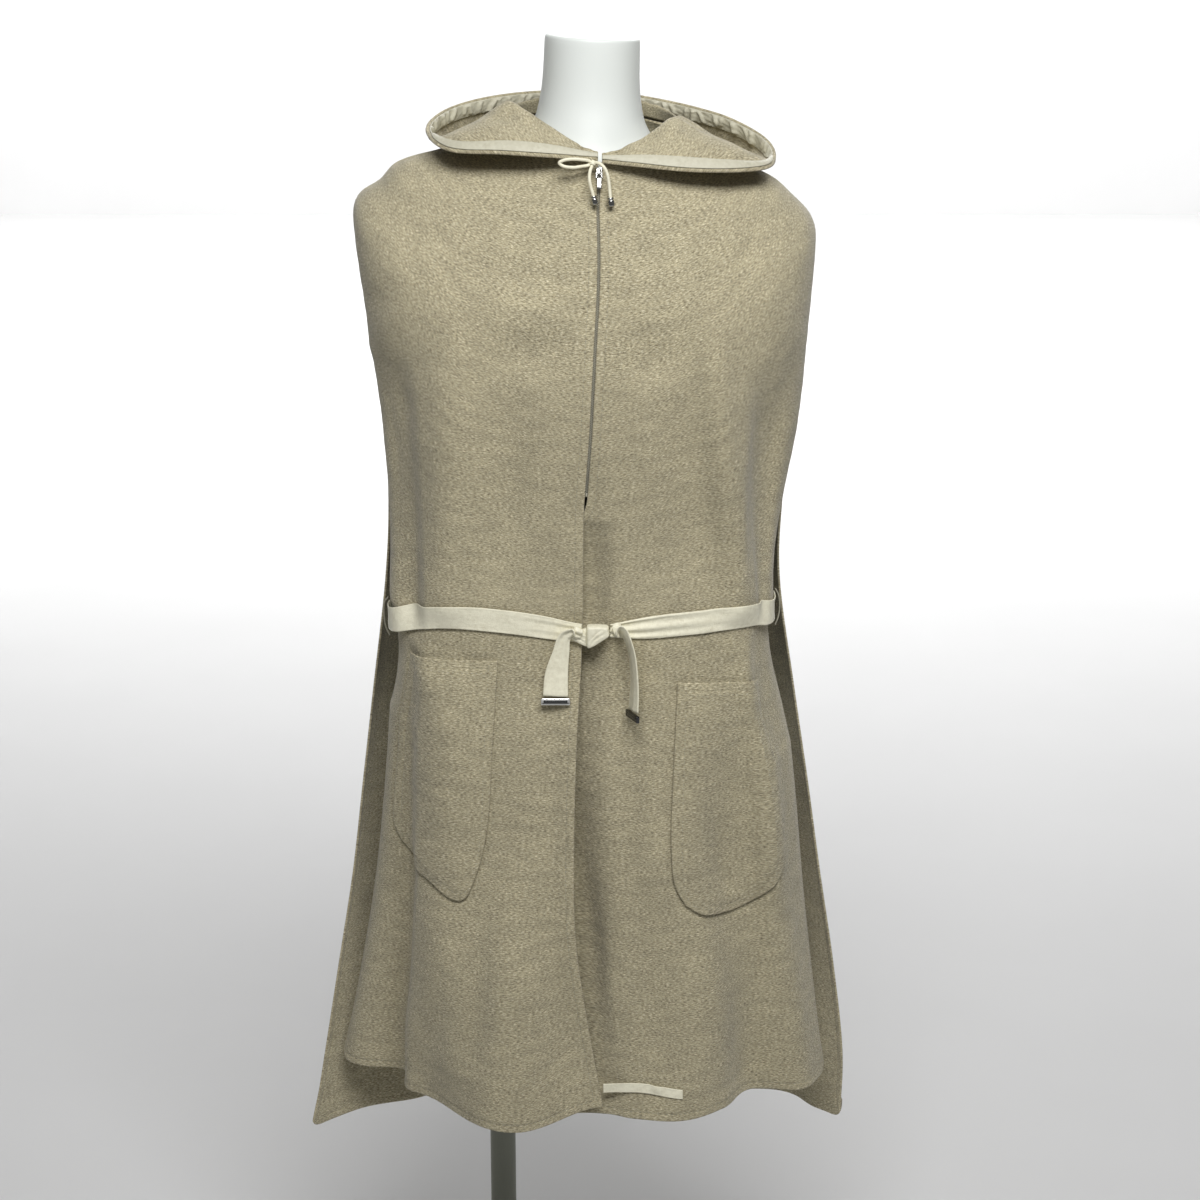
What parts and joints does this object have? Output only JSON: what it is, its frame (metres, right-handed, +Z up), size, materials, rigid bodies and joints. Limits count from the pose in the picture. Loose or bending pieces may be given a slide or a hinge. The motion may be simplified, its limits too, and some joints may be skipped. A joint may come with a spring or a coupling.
{
  "type": "hooded poncho on a dress form",
  "caption": "Hooded wool poncho with open sides, a leather belt tied over the front panels, patch pockets and a front zip, on a limbless dress form with a round foot.",
  "frame": {"origin": "middle of the stand foot's flat underside, on the floor", "axes": "+Z up along the stand, front of the garment towards -Y, wearer's left towards +X"},
  "size_m": [0.5628, 0.4, 1.4512],
  "materials": {
    "wool": "felted melange wool coating, short nap",
    "leather": "soft cream nappa",
    "metal": "polished",
    "tape": "woven zip tape",
    "form": "matt white shell",
    "stand_steel": "grey-green satin"
  },
  "bodies": {
    "garment": {"form_torso": "form", "form_flange": "stand_steel", "form_pole": "stand_steel", "form_foot": "stand_steel", "front_right": "wool", "front_left": "wool", "back": "wool", "hood_right": "wool", "hood_left": "wool", "hood_binding_right": "leather", "hood_binding_left": "leather", "zip_tape": "tape", "zip_slider": "metal", "drawstring_loop": "leather", "drawstring_end_right": "leather", "drawstring_end_left": "leather", "drawstring_knot": "leather", "cord_tip_right": "metal", "cord_tip_left": "metal", "pocket_right": "wool", "pocket_left": "wool", "belt_front_right": "leather", "belt_front_left": "leather", "belt_back": "leather", "belt_knot": "leather", "belt_tail_right": "leather", "belt_tail_left": "leather", "belt_tip_right": "metal", "belt_tip_left": "metal", "belt_loop_right": "wool", "belt_loop_left": "wool", "hem_tab": "leather"},
    "zip_pull": {"zip_pull": "metal"}
  },
  "joints": [
    {"name": "zip_pull_swing", "type": "hinge", "parent": "garment", "child": "zip_pull", "pos_m": [0.0132, -0.08341, 1.33157], "axis": [-1, 0, 0], "range_deg": [0, 85]}
  ]
}
